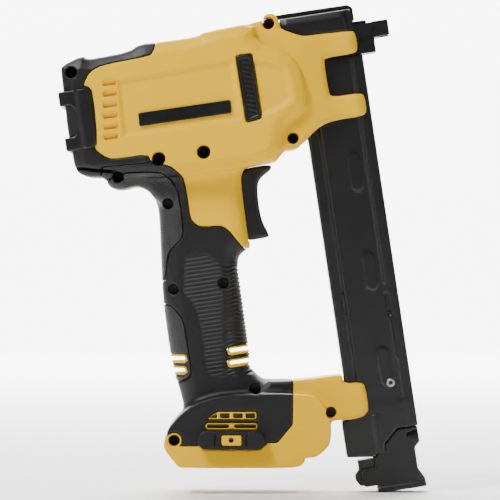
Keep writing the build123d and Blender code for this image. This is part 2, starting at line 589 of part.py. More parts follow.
def make_driver():
    """Blade and carriage, the rods they ride on, and the springs that throw them."""
    blade_low, blade_high = BLADE_Z - BLADE_THICK / 2, BLADE_Z + BLADE_THICK / 2
    blade = block((CARRIAGE[0] + 2, MUZZLE_END), (-BLADE_HALF, BLADE_HALF), (blade_low, blade_high))
    pitch = STROKE_PITCH_R * math.radians(LIFT_STEP)
    for i in range(LIFT_TEETH):
        centre = LIFTER_AT[0] + i * pitch
        blade -= block((centre - 2, centre + 2), (-2.9, 2.9), (0, 5))
    keep("driver_blade", driven(blade))
    carriage = block(CARRIAGE, (-11.8, 11.8), (-9.5, 4.5))
    carriage -= block((CARRIAGE[0] + 2, -90), (-BLADE_HALF, BLADE_HALF), (blade_low, blade_high))
    rods, springs, bumpers = [], [], []
    length = CARRIAGE[0] - SPRING_SEAT[1] - 0.1
    for y in (-ROD_Y, ROD_Y):
        carriage -= rod_x(y, ROD_Z, ROD_R + 0.05, -130, -90)
        rods.append(rod_x(y, ROD_Z, ROD_R, SPRING_SEAT[0] + 1, -64).solid())
        spring_at = Location((SPRING_SEAT[1] + 0.05, y, ROD_Z), (0, 90, 0))
        springs.append(coil(5.1, 0.9, length, 9).moved(spring_at).solid())
        ring = rod_x(y, ROD_Z, 5.2, CARRIAGE[1] + 0.05, -97.85)
        ring -= rod_x(y, ROD_Z, ROD_R + 0.03, -110, -90)
        bumpers.append((ring - block((-110, -90), (-20, 20), (1.2, 5))).solid())
    keep("driver_carriage", driven(carriage))
    keep("guide_rods", driven(Compound(children=rods)))
    keep("drive_springs", driven(Compound(children=springs)))
    keep("driver_bumpers", driven(Compound(children=bumpers)))
    seat = block(SPRING_SEAT, (-14, 14), (-9.5, 4))
    for y in (-ROD_Y, ROD_Y):
        seat -= rod_x(y, ROD_Z, ROD_R + 0.03, SPRING_SEAT[0] + 0.9, -190)
    keep("spring_seat", driven(seat))


# Nose


def make_nose():
    """The block that guides the blade, and the contact foot that must be pressed before firing."""
    nose = block((-62, -9.5), (-12.2, 12.2), (-11.7, -2))
    nose += block((-62, MUZZLE_END), (-9.8, 9.8), (-2.1, 4.7))
    nose += block((-62, -29), (-12.2, 12.2), (-2.1, 4.7))
    nose -= block((-70, 0), (-9.15, 9.15), (BLADE_Z - 0.95, BLADE_Z + 0.95))
    nose -= block((-60, -20), (-10.2, 10.2), (-12, BLADE_Z))
    nose += block((-60, -19), (-9.8, 9.8), (3.45, 4.7))
    keep("nose_block", driven(nose))

    bar = block((-54, -9.5), (-12.2, 12.2), (5.3, 8.3))
    for y in (-11.15, 11.15):
        bar += block((-21.8, -9.5), (y - 1.05, y + 1.05), (-1.7, 8.3))
    bar += block((-22, -13), (-5, 5), (8.2, 10.6))
    bar += block((-38, -36), (-4, 4), (8.2, 16)) + rod_x(0, 12.5, 1.5, -42, -37)
    keep("contact_trip", driven(bar))
    tip = block((-9.45, 1), (-12.2, 12.2), (-1.7, 8.6)) - block((-10, 2), (-10.1, 10.1), (-5, 5.1))
    keep("trip_tip", driven(tip))
    spring = coil(2.9, 0.4, 17.9, 8).moved(Location((-55.95, 0, 12.5), (0, 90, 0)))
    keep("trip_spring", driven(spring))


# Magazine


def make_channel():
    """The folded steel channel, with its beads, windows, pin holes and raised pads."""
    rear, half = MAGAZINE_REAR, MAGAZINE_HALF
    inner = half - 1.4
    channel = slab(CHANNEL, -half, half)
    channel -= block((rear + 1.4, -40), (-inner, inner), (-290, 0))
    channel -= block((-41, MAGAZINE_FRONT - 1.4), (-inner, inner), (-290, 0))
    channel -= block((-80, -62), (-inner, inner), (-275.5, -254.5))
    for y in (-half, half):
        channel -= block((-27.4, -26), (y - 0.5, y + 0.5), (-165, -14))
        channel -= block((-28.2, -25.2), (y - 2, y + 2), (-187, -171))
        channel -= block((-80, rear + 9), (y - 0.6, y + 0.6), (-251, -5))
        channel -= block((-80, -52), (y - 2, y + 2), (-274, -255))
        for z in (-168, -182):
            channel -= rod_y(-57, z, 1, y - 2, y + 2)
        for z in (-89, -155.5, -220):
            channel += block((-39, -31), (y - 0.15, y + 0.15), (z - 13, z + 13))
    keep("magazine_channel", driven(channel))
    post = rod_z(-57.2, 0, 3.5, -275.4, -255) + rod_z(-57.2, 0, 2, -275.5, -254.6)
    keep("latch_post", driven(post))


def make_magazine():
    """What slides out of the channel: the rail, its end cap and latch, and the pusher."""
    core = block((-50, -22), (-4.4, 4.4), (-261.5, MAGAZINE_TOP - 0.5))
    core += block((-32, -22), (-4.4, 4.4), (-262.5, -255))
    keep("magazine_core", driven(core - block((-48.5, -23.5), (-3, 3), (-261, -10))))
    toe = slab(END_CAP, -11, 11)
    toe += block((-60.5, -49.5), (-11, -8.4), (-298, -286))
    toe += block((-60.5, -49.5), (8.4, 11), (-298, -286))
    keep("magazine_toe", driven(toe - rod_y(*LATCH_PIN, 1.55, -20, 20)))
    latch = slab(LATCH, -8, 8) + rod_y(*LATCH_PIN, 3, -8, 8)
    keep("magazine_latch", driven(latch - rod_y(*LATCH_PIN, 1.55, -20, 20)))
    keep("latch_pin", driven(rod_y(*LATCH_PIN, 1.5, -11, 11)))

    pusher = block((-56, -23), (-9.5, 9.5), (-38, -14)) - block((-51, -21.5), (-4.7, 4.7), (-50, 0))
    keep("pusher", driven(pusher))
    spring = coil(1.9, 0.25, 217, 40).moved(Location((-36, 0, -259)))
    keep("pusher_spring", driven(spring))


if __name__ == "__main__":
    os.makedirs("parts", exist_ok=True)
    make_casing()
    make_fittings()
    make_controls()
    make_motor()
    make_lifter()
    make_driver()
    make_nose()
    make_channel()
    make_magazine()
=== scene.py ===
import json
import math

import bpy
import numpy as np
import openvdb
from mathutils import Matrix, Vector


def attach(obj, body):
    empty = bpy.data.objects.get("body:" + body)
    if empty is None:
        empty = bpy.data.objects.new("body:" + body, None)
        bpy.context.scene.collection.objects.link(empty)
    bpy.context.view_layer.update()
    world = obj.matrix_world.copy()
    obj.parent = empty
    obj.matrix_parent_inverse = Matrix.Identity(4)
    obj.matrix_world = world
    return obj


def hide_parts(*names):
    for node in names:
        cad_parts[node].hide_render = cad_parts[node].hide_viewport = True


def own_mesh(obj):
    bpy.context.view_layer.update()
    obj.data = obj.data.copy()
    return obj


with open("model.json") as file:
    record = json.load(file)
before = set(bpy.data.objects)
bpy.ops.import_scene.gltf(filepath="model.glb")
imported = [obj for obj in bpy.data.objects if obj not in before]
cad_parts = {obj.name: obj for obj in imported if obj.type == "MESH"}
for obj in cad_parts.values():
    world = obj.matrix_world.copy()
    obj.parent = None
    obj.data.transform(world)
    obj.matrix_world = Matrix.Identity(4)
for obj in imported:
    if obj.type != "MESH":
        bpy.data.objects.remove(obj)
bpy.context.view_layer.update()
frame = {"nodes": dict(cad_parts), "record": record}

# Shapes are in mm, the studio in metres. Plain X and Z run forwards and up. The drive frame is
# tilted with the barrel: U runs along it and W across it, both from the muzzle.
TILT = math.radians(8.5)
MUZZLE = (96.5, 306.8)
H = 0.5  # grid step of the casing
MM = 1000  # in a metre

# half widths across the tool
BODY_HALF = 32.0
NOSE_HALF = 23.5
HANDLE_HALF = 18.5
TANG_HALF = 27.0
FOOT_HALF = 38.0
ARM_HALF = 17.5
MAGAZINE_HALF = 12.2
TOE_HALF = 11.3
COVER_HALF = 16.6
TRIGGER_HALF = 8.1

WALL = 3.2  # casing thickness round the drive
BACKING = 2.4  # depth at which the black backing starts
RIB_PITCH = 2.7  # ribs of the grip


# ---------------------------------------------------------------- outlines


def G(points):
    """Drive-frame points as plain X and Z."""
    c, s = math.cos(TILT), math.sin(TILT)
    return [(MUZZLE[0] + p[0] * c - p[1] * s, MUZZLE[1] + p[0] * s + p[1] * c, *p[2:]) for p in points]


def rounded(corners, parts=5):
    """A polygon whose corners may carry a radius, as plain points."""
    out = []
    n = len(corners)
    for i, corner in enumerate(corners):
        p = np.array(corner[:2], float)
        r = corner[2] if len(corner) > 2 else 0
        if not r:
            out.append(tuple(p))
            continue
        a = np.array(corners[i - 1][:2], float) - p
        b = np.array(corners[(i + 1) % n][:2], float) - p
        la, lb = np.hypot(*a), np.hypot(*b)
        a, b = a / la, b / lb
        half = math.acos(max(-1, min(1, float(a @ b)))) / 2
        if half > math.pi / 2 - 0.02:
            out.append(tuple(p))
            continue
        cut = min(r / math.tan(half), la * 0.49, lb * 0.49)
        r = cut * math.tan(half)
        centre = p + (a + b) / np.hypot(*(a + b)) * r / math.sin(half)
        v0, v1 = p + a * cut - centre, p + b * cut - centre
        t0 = math.atan2(v0[1], v0[0])
        dt = (math.atan2(v1[1], v1[0]) - t0 + math.pi) % (2 * math.pi) - math.pi
        for k in range(parts + 1):
            t = t0 + dt * k / parts
            out.append((centre[0] + r * math.cos(t), centre[1] + r * math.sin(t)))
    return out


def loose(points, turns=2):
    """Corner cutting: softens an outline all round."""
    pts = np.array(points, float)
    for _ in range(turns):
        nxt = np.roll(pts, -1, 0)
        pts = np.stack([pts * 0.75 + nxt * 0.25, pts * 0.25 + nxt * 0.75], 1).reshape(-1, 2)
    return [tuple(p) for p in pts]


class Grid:
    """A box of space in mm on which solids are fields: negative inside."""

    def __init__(self, x, y, z, step=H, drive=False):
        self.h = step
        self.drive = drive
        self.lo = np.array([x[0], y[0], z[0]], float)
        self.n = [int(round((b - a) / step)) + 1 for a, b in (x, y, z)]
        self.x, self.y, self.z = [
            (self.lo[k] + step * np.arange(self.n[k])).astype(np.float32) for k in range(3)
        ]
        self.X, self.Z = np.meshgrid(self.x, self.z, indexing="ij")
        self.Y = np.abs(self.y)[None, :, None]

    def poly(self, points):
        """Signed distance to an outline in XZ."""
        pts = np.array(points, np.float32)
        d = np.full(self.X.shape, 1e12, np.float32)
        sign = np.ones(self.X.shape, np.float32)
        for a, b in zip(pts, np.roll(pts, -1, 0)):
            e = b - a
            size = float(e @ e)
            if size < 1e-9:
                continue
            wx, wz = self.X - a[0], self.Z - a[1]
            t = np.clip((wx * e[0] + wz * e[1]) / size, 0, 1)
            np.minimum(d, (wx - e[0] * t) ** 2 + (wz - e[1] * t) ** 2, out=d)
            c1, c2, c3 = self.Z >= a[1], self.Z < b[1], e[0] * wz > e[1] * wx
            sign[(c1 & c2 & c3) | (~c1 & ~c2 & ~c3)] *= -1
        return sign * np.sqrt(d)

    def circle(self, x, z, r):
        """Signed distance to a circle in XZ."""
        return np.hypot(self.X - x, self.Z - z) - r

    def line(self, a, b):
        """Distance to a segment."""
        e = np.array(b, float) - np.array(a, float)
        wx, wz = self.X - a[0], self.Z - a[1]
        t = np.clip((wx * e[0] + wz * e[1]) / float(e @ e), 0, 1)
        return np.hypot(wx - e[0] * t, wz - e[1] * t)

    def slab(self, d2, half, r):
        """An outline carried across the tool to half widths, with sides rounded by r."""
        half = half[:, None, :] if isinstance(half, np.ndarray) else half
        a = d2[:, None, :] + r
        b = self.Y - half + r
        return np.minimum(np.maximum(a, b), 0) + np.hypot(np.maximum(a, 0), np.maximum(b, 0)) - r

    def mesh(self, name, f, adapt=0.02):
        """The zero surface as an object, with normals taken from the field."""
        f = np.pad(np.clip(f, -3 * self.h, 3 * self.h), 1, constant_values=3 * self.h).astype(np.float32)
        vol = openvdb.FloatGrid(3 * self.h)
        vol.copyFromArray(f)
        pts, tris, quads = vol.convertToPolygons(isovalue=0.0, adaptivity=adapt)
        base = np.clip(np.floor(pts).astype(int), 0, np.array(f.shape) - 2)
        t = (pts - base).astype(np.float32)
        normal = np.zeros_like(pts)
        for k in range(3):
            grad = np.gradient(f, axis=k)
            acc = 0
            for c in range(8):
                off = [(c >> 2) & 1, (c >> 1) & 1, c & 1]
                w = np.prod([t[:, q] if off[q] else 1 - t[:, q] for q in range(3)], 0)
                acc = acc + w * grad[base[:, 0] + off[0], base[:, 1] + off[1], base[:, 2] + off[2]]
            normal[:, k] = acc
        normal /= np.maximum(np.linalg.norm(normal, axis=1, keepdims=True), 1e-9)
        pts = (pts - 1) * self.h + self.lo
        if self.drive:
            c, s = math.cos(TILT), math.sin(TILT)
            turn = np.array([[c, 0, -s], [0, 1, 0], [s, 0, c]])
            pts = pts @ turn.T + [MUZZLE[0], 0, MUZZLE[1]]
            normal = normal @ turn.T
        return build(name, pts / MM, tris, quads, normal)


def build(name, pts, tris, quads, normal):
    """A smooth mesh from triangles and quads. Its normals also say which way the faces turn."""

    def turned(faces):
        if not len(faces):
            return faces
        v0, v1, v2 = (pts[faces[:, k]] for k in range(3))
        facing = np.einsum("ij,ij->i", np.cross(v1 - v0, v2 - v0), normal[faces[:, 0]])
        return faces[:, ::-1] if facing.sum() < 0 else faces

    tris, quads = turned(np.asarray(tris, np.int32)), turned(np.asarray(quads, np.int32))
    me = bpy.data.meshes.new(name)
    me.vertices.add(len(pts))
    me.vertices.foreach_set("co", pts.astype(np.float32).ravel())
    me.loops.add(tris.size + quads.size)
    me.loops.foreach_set("vertex_index", np.concatenate([tris.ravel(), quads.ravel()]).astype(np.int32))
    starts = np.concatenate([3 * np.arange(len(tris)), tris.size + 4 * np.arange(len(quads))])
    me.polygons.add(len(starts))
    me.polygons.foreach_set("loop_start", starts.astype(np.int32))
    me.update(calc_edges=True)
    me.validate()
    me.polygons.foreach_set("use_smooth", np.ones(len(me.polygons), bool))
    me.normals_split_custom_set_from_vertices(normal.tolist())
    o = bpy.data.objects.new(name, me)
    bpy.context.scene.collection.objects.link(o)
    return o


def mirrored(o, name):
    """The same piece for the other side."""
    me = o.data
    pts = np.zeros(len(me.vertices) * 3, np.float32)
    me.vertices.foreach_get("co", pts)
    pts = pts.reshape(-1, 3) * [1, -1, 1]
    loops = np.zeros(len(me.loops), np.int32)
    me.loops.foreach_get("vertex_index", loops)
    sizes = np.zeros(len(me.polygons), np.int32)
    me.polygons.foreach_get("loop_total", sizes)
    start = np.zeros(len(me.polygons), np.int32)
    me.polygons.foreach_get("loop_start", start)
    tris = loops[start[sizes == 3][:, None] + np.arange(3)][:, ::-1]
    quads = loops[start[sizes == 4][:, None] + np.arange(4)][:, ::-1]
    normal = np.zeros(len(me.vertices) * 3, np.float32)
    me.vertex_normals.foreach_get("vector", normal)
    return build(name, pts, tris, quads, normal.reshape(-1, 3) * [1, -1, 1])


def smin(a, b, k):
    """Both solids, with a fillet of about k where they meet."""
    t = np.maximum(k - np.abs(a - b), 0) / k
    return np.minimum(a, b) - t * t * (k * 0.25)


def smax(a, b, k):
    """What both solids share, with its new edges rounded by about k."""
    return -smin(-a, -b, k)


def ramp(v, a, b):
    """A smooth 0 to 1 between a and b."""
    t = np.clip((v - a) / (b - a), 0, 1)
    return t * t * (3 - 2 * t)


def col(d2):
    """A 2D field as one that can meet a 3D one."""
    return d2[:, None, :]


# ---------------------------------------------------------------- casing

BODY = [
    (-120.5, 279), (-120.5, 283.5), (-106.5, 290.5), (-103.5, 288), (-96, 289), (-75.5, 293),
    (-68.5, 298), (-57.5, 299), (-29.5, 303), (-26, 306), (8, 312.5),
] + G([(-89, 6.5), (-67, -5), (-60, -19.5), (-60, -39.5), (-66, -45.5), (-78, -52), (-84, -73)]) + [
    (2, 216.5), (-40, 210), (-99, 209.5), (-106.5, 211), (-110, 213.5), (-112, 218.5), (-113, 225),
    (-116, 238.5), (-118.5, 262),
]
FRONT = [
    (-40, 301), (-29.5, 303), (-26, 306), (12.5, 313), (14, 317.5), (18, 319), (22, 317.5), (24.5, 311.5),
] + G([
    (-70.5, 12), (-58, 5.5), (-53, 5), (-23, 4.8), (-21, 1), (-21, -8), (-24, -11), (-44, -11),
    (-45, -14), (-45, -35), (-42.5, -37.5), (-24, -37.5), (-21.3, -40), (-21.3, -50), (-24.5, -53),
    (-43, -53), (-52.5, -55), (-59, -59),
]) + [
    (42, 234.5), (40, 233), (36, 229), (31.5, 228), (28, 228), (25.5, 225), (21.5, 220), (8.5, 218.5),
    (-40, 211),
]
HANDLE = [
    (-53, 235), (-56.5, 203), (-57.5, 192), (-56.5, 188.5), (-55.5, 175), (-54.5, 148), (-53.5, 128),
    (-49, 94.5), (-45.5, 77.5), (-43, 71), (-39.5, 57.5), (-38, 45), (30, 45), (33.5, 74.5), (21.5, 73.5),
    (12.5, 75.5), (6.5, 81), (4.5, 85), (5.5, 88), (4, 98), (0, 128), (-3.5, 151.5), (-3, 157), (0, 160),
    (2, 161.5), (5, 163), (4.5, 169), (4, 171.5), (0, 201.5), (-0.5, 211.5), (2.5, 235),
]
TANG = [
    (-95, 216), (-91, 209), (-90.5, 206.5), (-88, 203), (-84, 201.5), (-79, 201.5), (-72.5, 203.5),
    (-68.5, 203.5), (-62.5, 200.5), (-58.5, 195), (-50, 190), (-40, 190), (-40, 220),
]
FOOT = [
    (-28, 62), (-40, 54.5), (-49, 44), (-51, 39.5), (-53, 31), (-50, 26), (-43.5, 18), (-39, 17), (28, 17),
    (38, 18), (41, 21), (41, 24), (48, 24), (53, 27.5), (58.5, 33.5), (58.5, 50), (52, 62), (44, 66.5),
    (-8, 66.5),
]
ARM = [
    (10, 46), (68.5, 48), (79.5, 50), (83, 53.5), (84, 55.5), (81.5, 71), (78.5, 73.5), (67.5, 72.5),
    (66, 77.5), (65, 78.5), (33.5, 74.5), (12, 74),
]
RECESS = [(-183, -6.2, 2), (-105, -4, 2), (-104.6, -44.6, 2), (-184.5, -44.4, 2)]
FACET = [(-96, -5, 2), (-88.4, -6.4, 3), (-70, -14.6, 4), (-69, -35, 3), (-75, -39.5, 3), (-96, -46.5, 2)]
OUTLET = [(-103, -1.3, 2), (-91.4, -1.1, 2), (-91.3, -45.4, 2), (-102.6, -47, 2)]
STRIP = [(-172, -29.6, 1.2), (-110.3, -29.9, 1.2), (-111, -38.8, 1.2), (-172.6, -38.5, 1.2)]
RIB_ROWS = (-6.5, -13.7, -20.9, -28.1, -35.3, -42)
RIBBED = [
    (-41, 138), (-40, 153.5), (-36, 159), (-25.5, 160), (-20.5, 157), (-15.4, 152.8), (12, 152), (12, 79),
    (-8.7, 77.1), (-22.1, 76.4), (-26.1, 82.4), (-27.5, 101.2), (-30.8, 117.9), (-35, 126.5), (-40.5, 132),
]
PAD_UPPER = [
    (-100, 200), (-82.4, 212.4), (-55.6, 213.4), (-49.5, 209.5), (-44.5, 204), (-42.2, 195), (-39.5, 173.5),
    (-41.3, 168.2), (-47.6, 162.8), (-50.2, 157.5), (-51.6, 142.7), (-55.5, 138.7), (-100, 138.7),
]
PAD_LOWER = [
    (-100, 126.6), (-50.9, 126.6), (-43.6, 119.9), (-39.5, 114.6), (-36.9, 97.8), (-34.2, 81.1),
    (-35.8, 76.2), (-43.6, 73.7), (-100, 73.7),
]
FOOT_PLATE = [(-29.5, 29.3, 5.5), (-29.5, 41.6, 5.5), (14.7, 41.6, 5.5), (14.7, 29.3, 5.5)]
BADGE = [(-14.1, 32.3, 1.3), (-0.8, 32.3, 1.3), (-0.8, 39.2, 1.3), (-14.1, 39.2, 1.3)]
GRILLE_HIGH = [
    (-23.8, 49.6, 0.5), (-19, 53.2, 2), (-16.5, 54.4, 2), (9.0, 54.4, 1.3), (9.0, 49.6, 1.3),
]
GRILLE_LOW = [(-24.8, 42.8, 2), (9.7, 42.8, 2), (9.7, 47.0, 2), (-24.8, 47.0, 2)]
YELLOW_REAR = [
    (-57.5, 320), (-57.5, 299), (-59.5, 292), (-62.5, 289.5), (-92.5, 284), (-101, 279.5), (-105, 272),
    (-105, 270), (-102, 269.5), (-99, 265.5), (-96, 232.5), (-98.5, 230), (-96, 226.5), (-89, 222),
    (-82.5, 222), (-63, 225), (-61, 220.5), (-57.5, 218), (-49, 218), (-42, 212.5), (-39, 208.5),
    (-36, 191.5), (-35, 183), (-31, 178), (-25.5, 177), (-15.5, 178), (-10, 175.5), (-4, 168),
    (2, 161.5), (40, 150), (120, 200), (120, 340), (-57.5, 340),
]
YELLOW_FOOT = [
    (-70, 42), (-54, 42.5, 1), (-50.6, 41, 1), (-49.6, 36, 1), (-49.2, 31.6, 1), (14.5, 31.8, 1),
    (15.5, 33.6, 1), (23, 34, 2), (33, 46, 2), (33.5, 74.5), (33.5, 100), (100, 100), (100, 0), (-70, 0),
]
# screw holes with their radii
SCREWS = G([
    (-212, 3.5, 3.8), (-163, -61.5, 4.5), (-133, -61.5, 4.5), (-78, 17, 4.1), (-73, -61, 3.8),
    (-191.5, -69.5, 3.6), (-161.5, -91.5, 3.5), (-166.5, -148.5, 3.5), (-133, -149.5, 3.5),
    (-122.5, -222, 3.5),
]) + [(58.5, 53.5, 3.7), (-45.5, 35.5, 3.8)]
HOOK = (-7.7, 36.0)


def box(x0, x1, z0, z1, r):
    """A rectangle with rounded corners."""
    return [(x0, z0, r), (x1, z0, r), (x1, z1, r), (x0, z1, r)]


def soft_step(t):
    """0 below 0 and t above, with a small radius at the turn."""
    return 0.5 * (t + np.sqrt(t * t + 0.01))


def lean(v, a, b):
    """A straight 0 to 1 between a and b, with softened ends."""
    t = (v - a) / (b - a)
    return soft_step(t) - soft_step(t - 1)


def casing():
    """The closed outside of the whole casing, with its recesses and ribs."""
    g = Grid((-124, 90), (-40, 1.0), (12, 324))
    c, s = math.cos(TILT), math.sin(TILT)
    U = (g.X - MUZZLE[0]) * c + (g.Z - MUZZLE[1]) * s
    W = -(g.X - MUZZLE[0]) * s + (g.Z - MUZZLE[1]) * c

    body2 = g.poly(loose(BODY, 1))
    body = g.slab(body2, BODY_HALF - 5.0 * lean(body2, -7.5, 0.5), 2.5)
    front2 = g.poly(loose(FRONT, 1))
    wide = NOSE_HALF - 6.0 * ramp(U, -64, -34) - 3.0 * lean(U, -27, -21)
    front = g.slab(front2, wide - 1.8 * lean(front2, -3.0, 0.3), 0.8)
    top = g.slab(g.poly(loose(HANDLE, 2)), HANDLE_HALF - 1.0 * ramp(g.Z, 100, 190), 13.0)
    tang = g.slab(g.poly(loose(TANG, 1)), TANG_HALF - 7.0 * ramp(g.X, -80, -55), 5.0)
    foot2 = g.poly(loose(FOOT, 2))
    foot = g.slab(foot2, FOOT_HALF - 5.0 * lean(foot2, -8, 0.5), 3.5)
    arm = g.slab(g.poly(loose(ARM, 1)), ARM_HALF - 2.5 * lean(g.X, 78, 84), 3.0)

    f = smin(body, front, 1.5)
    f = smin(f, top, 6.0)
    f = smin(f, tang, 4.0)
    f = smin(f, smin(foot, arm, 4.0), 4.0)
    del body, front, top, tang, foot, arm

    # sloped recesses of the side, the pocket of the outlet, and the ribs at the back
    for outline, deep, slope in ((RECESS, 2.0, 2.4), (FACET, 2.6, 3.0)):
        inward = -g.poly(rounded(G(outline)))
        f = smax(f, g.Y - col(BODY_HALF - deep * lean(inward, -0.2, slope)), 0.3)
    outlet = col(g.poly(rounded(G(OUTLET))))
    f = smax(f, -smax(outlet, 27.5 - g.Y, 0.6), 0.6)
    for w in RIB_ROWS:
        lean_in = 0.12 * (w + 24)
        slot = rounded(G([
            (-194.5 + lean_in, w - 2.2, 1), (-185.5 + lean_in, w - 2.2, 1),
            (-184.5 + lean_in, w + 2.0, 1), (-194.5 + lean_in, w + 2.0, 1),
        ]))
        floor = 31.7 - 3.2 * ramp(W, w + 2.2, w - 2.2)
        f = smax(f, -smax(col(g.poly(slot)), col(floor) - g.Y, 0.4), 0.4)

    # ribs of the grip: straight on the side, broken into zigzags towards the front
    zig = 1.3 * np.abs(((g.X / 5.0) % 2) - 1) * ramp(g.X, -14, -11)
    wave = 0.5 + 0.5 * np.cos(2 * np.pi * (W + zig) / RIB_PITCH)
    inside = ramp(-g.poly(loose(RIBBED, 1)), 0.0, 1.2)
    f = f + col((0.1 + 0.8 * wave) * inside)

    # the rolled lower edge of the bumper, and the raised plate on the foot
    roll = col(g.line((-110, 215.6), (-84, 213.2)))
    f = smax(f, -np.maximum(roll - 0.9, 24.0 - g.Y), 0.8)
    plate = smax(col(g.poly(rounded(FOOT_PLATE))), g.Y - FOOT_HALF - 0.3, 0.8)
    plate = np.maximum(plate, 30.0 - g.Y)
    f = smin(f, plate, 0.5)
    for x in (-18.4, 2.3):
        notch = col(g.line((x, 32.5), (x, 39.5)) - 0.45)
        f = smax(f, -np.maximum(notch, 37.2 - g.Y), 0.4)
    return g, f, U, W


def split_casing():
    """The casing cut into its moulded pieces, right side only."""
    g, f, U, W = casing()
    for x, z, wide in SCREWS:
        f = smax(f, -np.maximum(col(g.circle(x, z, wide)), 6.0 - g.Y), 0.9)
    # room for the magazine, the lever, the trigger and the battery's rails
    magazine = col(np.maximum(np.maximum(-63.3 - U, W - 17), U - 2))
    f = np.maximum(f, -np.maximum(magazine, g.Y - 12.6))
    lever = col(np.maximum(np.maximum(-86 - U, U + 18), 19.1 - W))
    f = np.maximum(f, -np.maximum(lever, g.Y - 7.8))
    trigger = col(np.maximum(np.maximum(-127 - U, U + 85), np.maximum(W + 74.6, -124.3 - W)))
    f = smax(f, -np.maximum(trigger, g.Y - 8.5), 0.5)
    bay = np.maximum(col(np.maximum(g.X - 34, 20.5 - g.Z)), np.maximum(g.Y - 31, col(g.Z - 30)))
    bay = np.minimum(bay, np.maximum(col(np.maximum(g.X - 34, g.Z - 30)), g.Y - 27.5))
    f = np.maximum(f, -bay)

    # where the casing is yellow, in XZ
    yellow2 = np.minimum(g.poly(loose(YELLOW_REAR, 1)), g.poly(rounded(YELLOW_FOOT)))
    yellow2 = np.maximum(yellow2, -g.poly(rounded(FOOT_PLATE)))
    yellow2 = np.minimum(yellow2, g.circle(-45.5, 35.5, 5.0))
    yellow2 = np.minimum(yellow2, g.poly(rounded(BADGE)))
    # outlets through the handle, each with a hard rim
    outlets = [
        [(-9, low, 1.2), (14, low + 3.4, 1.2), (14, low + 6.4, 1.2), (-9, low + 3.0, 1.2)]
        for low in (92.6, 84.4)
    ]
    outlets += [box(-60, -38.5, low, low + 3, 1.2) for low in (87.6, 79.8)]
    for outline in outlets:
        v = g.poly(rounded(outline))
        f = smax(f, -col(v), 0.5)
        yellow2 = np.minimum(yellow2, v - 1.5)
    # grilles of the foot: yellow frames with black windows
    for outline in (GRILLE_HIGH, GRILLE_LOW):
        yellow2 = np.minimum(yellow2, g.poly(rounded(outline)))
    windows = [[(-22, 50.5), (-17.2, 53.4), (-17.2, 50.5)]]
    windows += [box(x, x + 6.0, 50.4, 53.3, 0.4) for x in (-14.9, -6.2, 2.0)]
    windows += [box(x, x + 14.3, 43.8, 46.0, 0.6) for x in (-23.6, -5.5)]
    for outline in windows:
        v = g.poly(rounded(outline))
        f = smax(f, -smax(col(v), 36.2 - g.Y, 0.3), 0.3)
        yellow2 = np.maximum(yellow2, 0.1 - v)
    f = smax(f, -np.maximum(col(g.circle(*HOOK, 1.7)), 29.5 - g.Y), 0.3)

    # which piece each place belongs to, with a fine joint between pieces
    pads2 = np.minimum(g.poly(loose(PAD_UPPER, 1)), g.poly(loose(PAD_LOWER, 1)))
    split = g.poly([(-260, 400), (-57, 400), (-57, 292), (-62, 219), (-93, 216.5), (-97, 190), (-260, 190)])
    black = 0.2 - yellow2
    regions = {
        "housing": yellow2,
        "grip": np.maximum(np.maximum(black, 0.1 - split), 0.25 - pads2),
        "palm_pads": np.maximum(np.maximum(black, 0.1 - split), pads2),
        "rear_bumper": np.maximum(black, split + 0.1),
    }
    # room for the moving drive, and a black backing on the grip that closes the joints from inside
    drive = np.maximum(np.maximum(-207 - U, U + 62), np.maximum(-52 - W, W - 9))
    hollow = np.maximum(f + WALL, np.maximum(col(drive), g.Y - 22))
    backing = np.maximum(f + BACKING, -hollow)
    f = np.maximum(f, -hollow)
    right = g.y[None, :, None] + 0.06
    made = {}
    for name, region in regions.items():
        solid = smax(f, col(region), 0.9)
        if name == "grip":
            solid = np.minimum(solid, backing)
        solid = smax(solid, right, 0.05 if name == "palm_pads" else 0.5)
        made[name] = g.mesh(name + "_right_look", solid, 0.05 if name == "grip" else 0.02)
    return made


casing_pieces = split_casing()


# ---------------------------------------------------------------- pieces drawn in the drive frame


def side_plate(outline, half, r, inner):
    """A plate on each side of the tool, from half width inner to half, as its grid and field."""
    pts = rounded(outline)
    us, ws = [p[0] for p in pts], [p[1] for p in pts]
    along, across = (min(us) - 1, max(us) + 1), (min(ws) - 1, max(ws) + 1)
    g = Grid(along, (-half - 1, half + 1), across, 0.3, drive=True)
    return g, smax(g.slab(g.poly(pts), half, r), inner - g.Y, r)


def make_label():
    """The blank plate along the side, where the photo has lettering."""
    g, f = side_plate(STRIP, 31.35, 0.4, inner=29.4)
    return keep_right(g, f, "label_plate")


def make_outlet():
    """The louvred outlet of the side, set in its pocket."""
    outline = [(-102.3, -1.9, 2), (-92, -1.7, 2), (-91.9, -44.8, 2), (-102, -46.3, 2)]
    g, f = side_plate(outline, 31.3, 0.7, inner=27.6)
    # a shallow dish with louvres
    dish = g.poly(rounded([(-100.6, -4, 1.5), (-93.7, -4, 1.5), (-93.6, -42.6, 1.5), (-100.4, -44, 1.5)]))
    f = smax(f, -smax(col(dish), 30.5 - g.Y, 0.5), 0.5)
    wave = 0.08 * np.cos(2 * np.pi * (g.Z + 0.35 * g.X) / 3.2)
    f = f + col(wave * ramp(-g.poly([(-100, -5), (-94, -5), (-94, -42), (-100, -43)]), 0, 0.8))
    return keep_right(g, f, "side_vent")


def keep_right(g, f, name):
    """The right half of a piece that exists once on each side."""
    return g.mesh(name + "_right_look", np.maximum(f, g.y[None, :, None] + 0.05))


